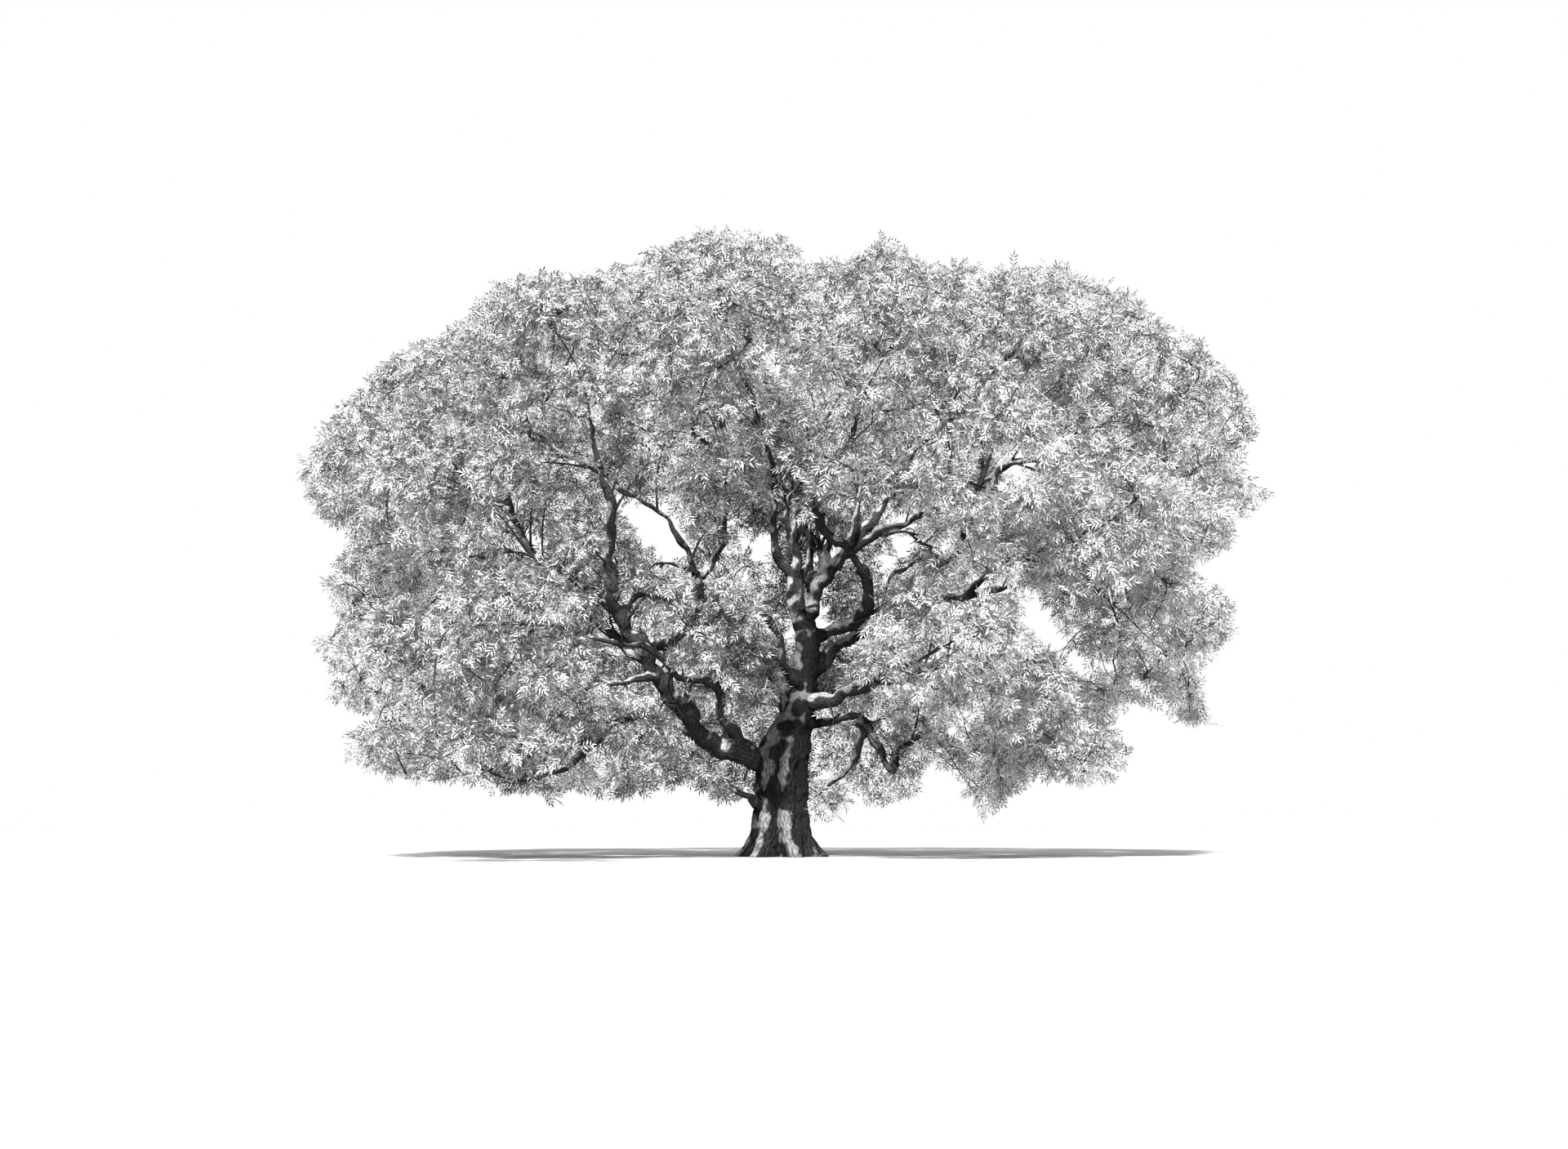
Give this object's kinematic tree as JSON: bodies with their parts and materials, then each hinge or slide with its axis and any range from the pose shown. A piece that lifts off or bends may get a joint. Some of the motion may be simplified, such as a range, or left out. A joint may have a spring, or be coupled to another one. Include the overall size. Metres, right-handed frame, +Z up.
{
  "type": "ash tree",
  "caption": "Old open-grown ash tree in full leaf: short stout fluted trunk, crooked spreading boughs and a broad domed crown in leafy clumps with sky gaps, low on both sides.",
  "frame": {"origin": "middle of the flat cut under the trunk, at ground level", "axes": "+Z up along the trunk, +X along the crown's greatest spread, to the right in the picture, -Y towards the viewer"},
  "size_m": [28.9402, 22.4483, 18.6403],
  "materials": {
    "trunk_bark": "deeply ridged old bark, matt, dark grey",
    "bough_bark": "finely fissured bark, matt, mid grey with paler patches",
    "foliage": "matt leaves, light to dark grey as in the black and white photograph"
  },
  "bodies": {
    "root": {"trunk": "trunk_bark", "bough_left": "bough_bark", "bough_left_inner": "bough_bark", "bough_left_crown": "bough_bark", "bough_left_arch": "bough_bark", "bough_left_reach": "bough_bark", "bough_left_side": "bough_bark", "bough_front_left": "bough_bark", "bough_low_left": "bough_bark", "bough_bottom_left": "bough_bark", "bough_centre_left": "bough_bark", "bough_centre": "bough_bark", "bough_right_up": "bough_bark", "bough_back_left_top": "bough_bark", "bough_back_right_top": "bough_bark", "bough_right_shoulder": "bough_bark", "bough_right": "bough_bark", "bough_front_rising": "bough_bark", "bough_front_right_top": "bough_bark", "bough_front_right_side": "bough_bark", "bough_right_low": "bough_bark", "bough_front_right_low": "bough_bark", "bough_drooping": "bough_bark", "bough_front_left_inner": "bough_bark", "bough_back_left": "bough_bark", "bough_back_right": "bough_bark", "bough_back_low": "bough_bark", "foliage_left_shoulder": "foliage", "foliage_left_upper": "foliage", "foliage_left_mid": "foliage", "foliage_left_low": "foliage", "foliage_bottom_left": "foliage", "foliage_bottom_left_inner": "foliage", "foliage_upper_left": "foliage", "foliage_top": "foliage", "foliage_top_right": "foliage", "foliage_upper_right": "foliage", "foliage_right_shoulder": "foliage", "foliage_right_upper": "foliage", "foliage_right": "foliage", "foliage_right_low": "foliage", "foliage_bottom_right": "foliage", "foliage_low_right_inner": "foliage", "foliage_front_left": "foliage", "foliage_front_left_low": "foliage", "foliage_front_left_upper": "foliage", "foliage_front_top": "foliage", "foliage_front_top_right": "foliage", "foliage_front_right_upper": "foliage", "foliage_front_right": "foliage", "foliage_front_right_side": "foliage", "foliage_front_right_low": "foliage", "foliage_front_left_inner": "foliage", "foliage_back_left": "foliage", "foliage_back_left_low": "foliage", "foliage_back_upper_left": "foliage", "foliage_back_upper_right": "foliage", "foliage_back_right": "foliage", "foliage_back_right_low": "foliage", "foliage_back_low": "foliage"}
  },
  "joints": []
}
